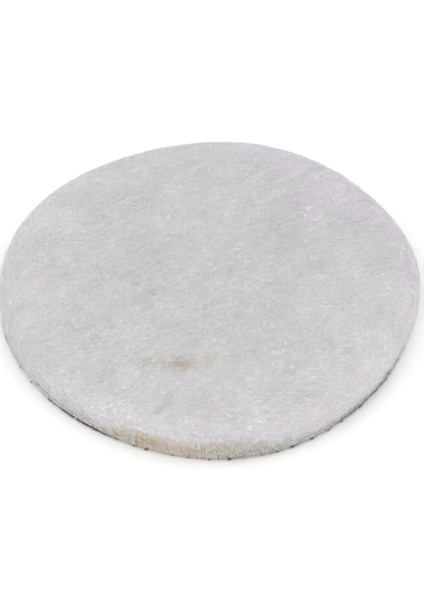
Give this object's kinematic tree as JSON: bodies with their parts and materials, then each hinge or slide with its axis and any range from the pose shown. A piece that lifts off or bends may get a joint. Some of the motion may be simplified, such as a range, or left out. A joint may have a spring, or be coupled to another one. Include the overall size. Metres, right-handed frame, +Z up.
{
  "type": "polishing pad",
  "caption": "Round white lambskin polishing pad with a deep combed wool face, a black loop-fabric back and an overlocked edge.",
  "frame": {"origin": "centre of the loop face, the flat underside that the pad rests on", "axes": "+Z up along the pad's turning axis, from the loop face to the wool face; +X and +Y are free round the disc"},
  "size_m": [0.18, 0.18, 0.018],
  "materials": {
    "wool": "combed white lambswool nap, matte, cream to tan at the roots",
    "hide": "undyed tanned lambskin, suede matte",
    "film": "translucent amber hot-melt film",
    "ground_cloth": "black warp-knitted ground cloth",
    "loops": "black brushed loop pile",
    "thread": "ecru spun polyester sewing thread"
  },
  "bodies": {
    "root": {"wool_pile": "wool", "lambskin_hide": "hide", "adhesive_film": "film", "loop_ground_cloth": "ground_cloth", "loop_pile": "loops", "needle_thread": "thread", "upper_looper_thread": "thread", "lower_looper_thread": "thread"}
  },
  "joints": []
}
